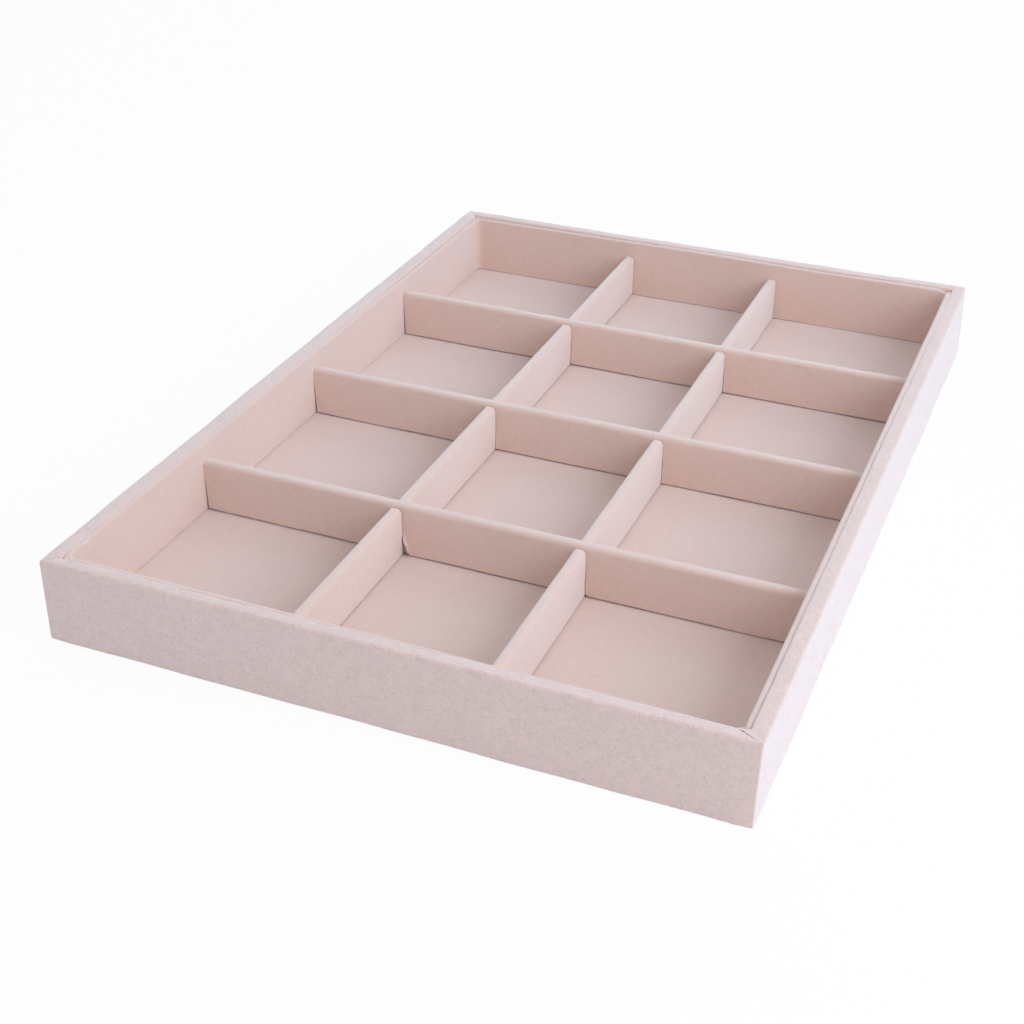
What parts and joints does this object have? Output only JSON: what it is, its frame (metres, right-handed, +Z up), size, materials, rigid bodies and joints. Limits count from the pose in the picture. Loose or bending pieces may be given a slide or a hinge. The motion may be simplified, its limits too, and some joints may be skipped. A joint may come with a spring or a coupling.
{
  "type": "jewelry tray",
  "caption": "Shallow rectangular jewelry tray covered in pale suede, with a grid of open compartments made by slotted dividers that lift out.",
  "frame": {"origin": "centre of the tray's footprint, on the surface it stands on", "axes": "+X across the tray to the right, +Y along its long side to the back, +Z up"},
  "size_m": [0.24, 0.35, 0.031],
  "materials": {
    "suede": "short-nap microsuede",
    "fibreboard": "bare fibreboard",
    "greyboard": "bare greyboard",
    "backing_sheet": "matt paper-backed sheet",
    "brad_steel": "bright wire"
  },
  "bodies": {
    "tray": {"base_board": "fibreboard", "base_cover": "backing_sheet", "floor_suede": "suede", "corner_brads": "brad_steel", "front_rail": "fibreboard", "front_wrap": "suede", "front_liner_card": "greyboard", "front_liner_suede": "suede", "back_rail": "fibreboard", "back_wrap": "suede", "back_liner_card": "greyboard", "back_liner_suede": "suede", "left_rail": "fibreboard", "left_wrap": "suede", "left_liner_card": "greyboard", "left_liner_suede": "suede", "right_rail": "fibreboard", "right_wrap": "suede", "right_liner_card": "greyboard", "right_liner_suede": "suede"},
    "long_divider_left": {"long_divider_left_card": "greyboard", "long_divider_left_suede": "suede"},
    "long_divider_right": {"long_divider_right_card": "greyboard", "long_divider_right_suede": "suede"},
    "cross_divider_front": {"cross_divider_front_card": "greyboard", "cross_divider_front_suede": "suede"},
    "cross_divider_middle": {"cross_divider_middle_card": "greyboard", "cross_divider_middle_suede": "suede"},
    "cross_divider_back": {"cross_divider_back_card": "greyboard", "cross_divider_back_suede": "suede"}
  },
  "joints": [
    {"name": "long_left_lift", "type": "slide", "parent": "tray", "child": "long_divider_left", "axis": [0, 0, 1], "range_m": [0, 0.032]},
    {"name": "long_right_lift", "type": "slide", "parent": "tray", "child": "long_divider_right", "axis": [0, 0, 1], "range_m": [0, 0.032]},
    {"name": "cross_front_lift", "type": "slide", "parent": "long_divider_left", "child": "cross_divider_front", "axis": [0, 0, 1], "range_m": [0, 0.032]},
    {"name": "cross_middle_lift", "type": "slide", "parent": "long_divider_left", "child": "cross_divider_middle", "axis": [0, 0, 1], "range_m": [0, 0.032]},
    {"name": "cross_back_lift", "type": "slide", "parent": "long_divider_left", "child": "cross_divider_back", "axis": [0, 0, 1], "range_m": [0, 0.032]}
  ],
  "couplings": [
    {"joint": "long_right_lift", "follows": "long_left_lift", "ratio": 1}
  ]
}
